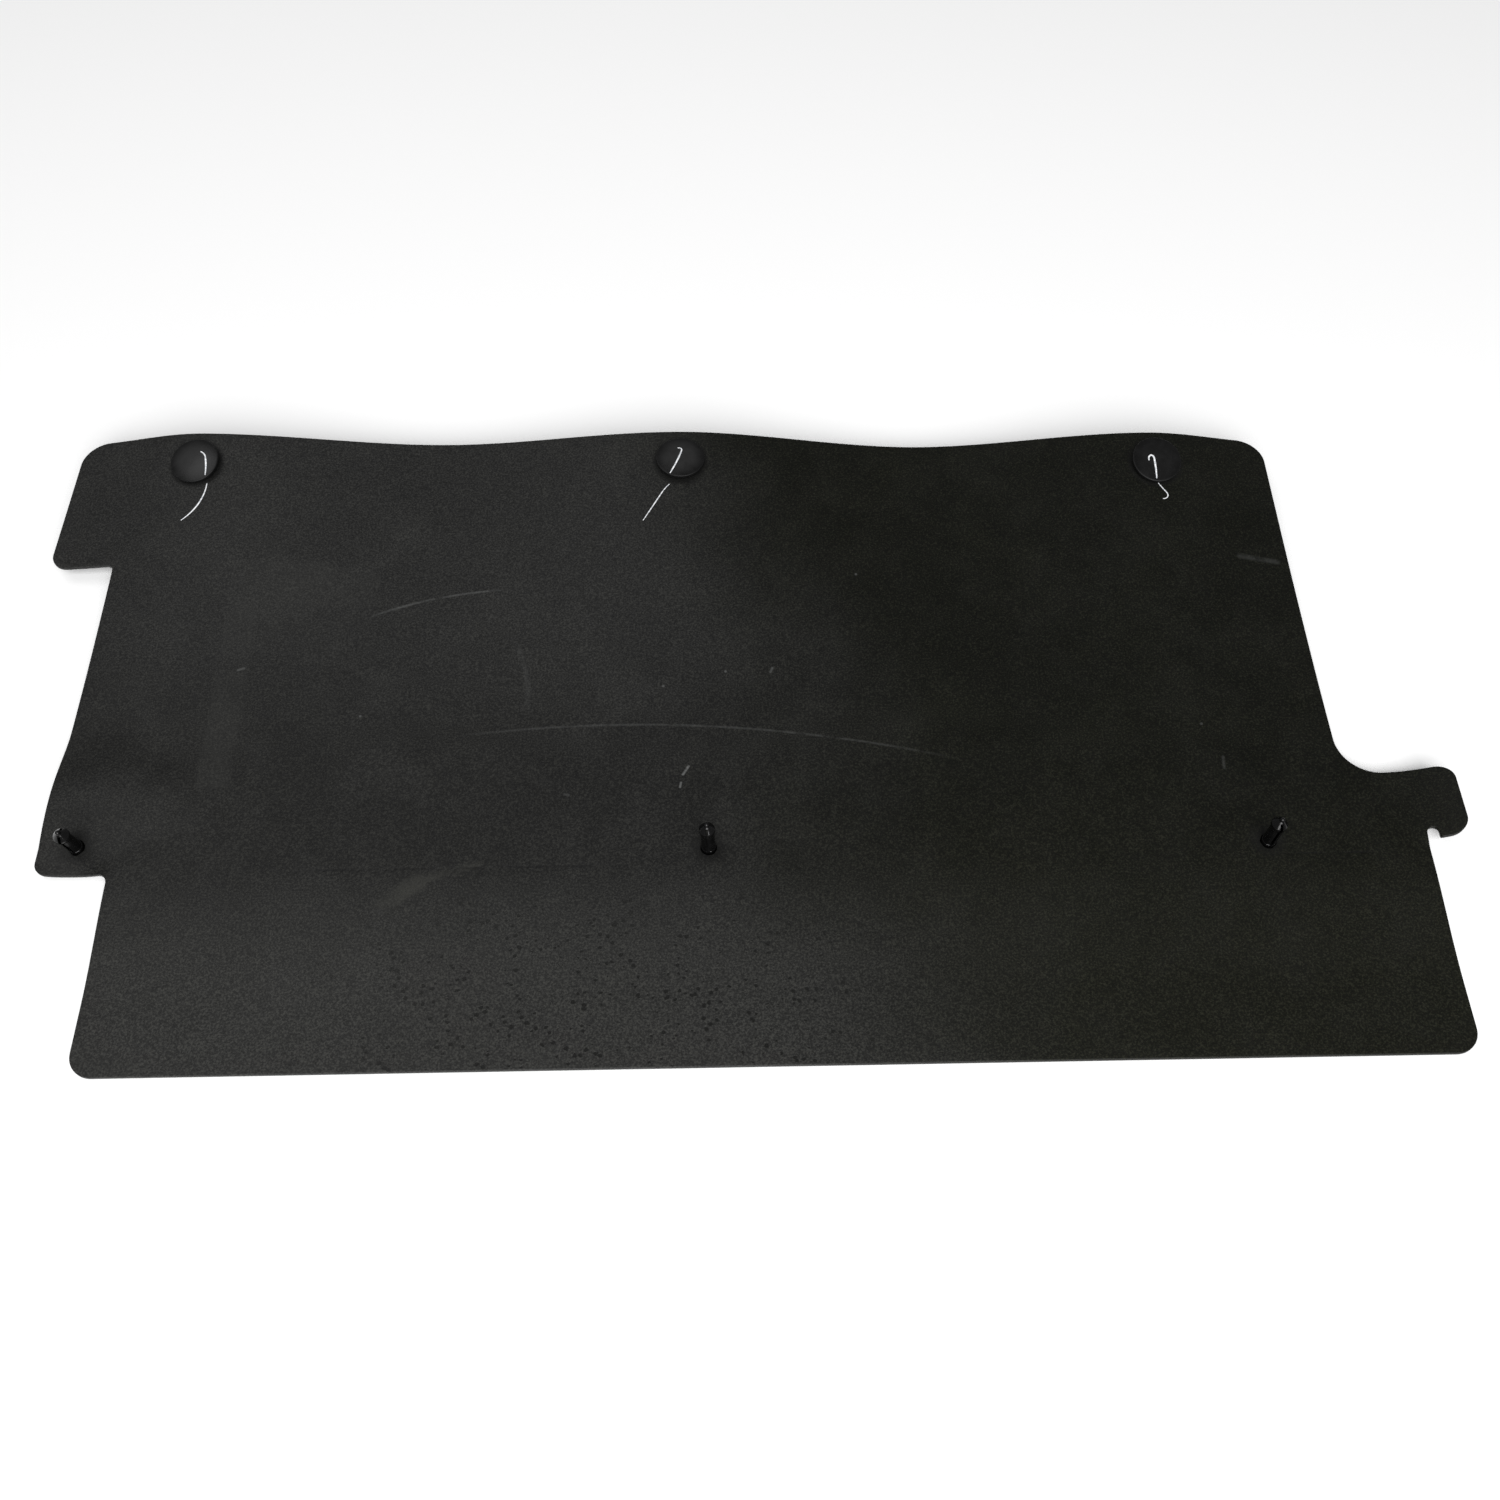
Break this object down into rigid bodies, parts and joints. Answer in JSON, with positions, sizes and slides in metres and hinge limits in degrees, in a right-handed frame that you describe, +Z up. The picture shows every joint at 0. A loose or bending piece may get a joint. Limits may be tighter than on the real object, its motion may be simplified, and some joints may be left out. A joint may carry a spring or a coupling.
{
  "type": "kick shield",
  "caption": "Flexible die-cut rubber kick shield with side tabs and a fold-up lower flap, held by push-in retainers with round heads and split legs.",
  "frame": {"origin": "on the surface the shield lies on, below the middle of its outline's box", "axes": "+X along the long edges towards the right tab, +Y from the lower flap to the propped rear edge, +Z up through the sheet"},
  "size_m": [0.6785, 0.3473, 0.0286],
  "materials": {
    "sheet_rubber": "matte",
    "retainer_plastic": "satin"
  },
  "bodies": {
    "panel": {"main_panel": "sheet_rubber"},
    "flap": {"lower_flap": "sheet_rubber"},
    "rear_left_retainer": {"rear_left_retainer": "retainer_plastic"},
    "rear_centre_retainer": {"rear_centre_retainer": "retainer_plastic"},
    "rear_right_retainer": {"rear_right_retainer": "retainer_plastic"},
    "front_left_retainer": {"front_left_retainer": "retainer_plastic"},
    "front_centre_retainer": {"front_centre_retainer": "retainer_plastic"},
    "front_right_retainer": {"front_right_retainer": "retainer_plastic"}
  },
  "joints": [
    {"name": "fold", "type": "hinge", "parent": "panel", "child": "flap", "pos_m": [0, -0.0793, 0.00562], "axis": [-1, 0, 0], "range_deg": [0, 90], "stiffness_Nm_per_rad": 0.4},
    {"name": "rear_left_turn", "type": "hinge", "parent": "panel", "child": "rear_left_retainer", "pos_m": [-0.271, 0.1527, 0.02392], "axis": [0.0853, 0.2072, -0.9746], "continuous": true},
    {"name": "rear_centre_turn", "type": "hinge", "parent": "panel", "child": "rear_centre_retainer", "pos_m": [-0.018, 0.1482, 0.02445], "axis": [-0.0436, 0.0523, -0.9977], "continuous": true},
    {"name": "rear_right_turn", "type": "hinge", "parent": "panel", "child": "rear_right_retainer", "pos_m": [0.2285, 0.1417, 0.02377], "axis": [-0.0677, 0.2414, -0.9681], "continuous": true},
    {"name": "front_left_turn", "type": "hinge", "parent": "panel", "child": "front_left_retainer", "pos_m": [-0.2925, -0.0652, 0.00388], "axis": [0.0086, -0.1736, 0.9848], "continuous": true},
    {"name": "front_centre_turn", "type": "hinge", "parent": "panel", "child": "front_centre_retainer", "pos_m": [-0.004, -0.0712, 0.00282], "axis": [-0.0174, 0.0174, 0.9997], "continuous": true},
    {"name": "front_right_turn", "type": "hinge", "parent": "panel", "child": "front_right_retainer", "pos_m": [0.25, -0.0728, 0.00285], "axis": [0.0262, -0.0262, 0.9993], "continuous": true}
  ]
}
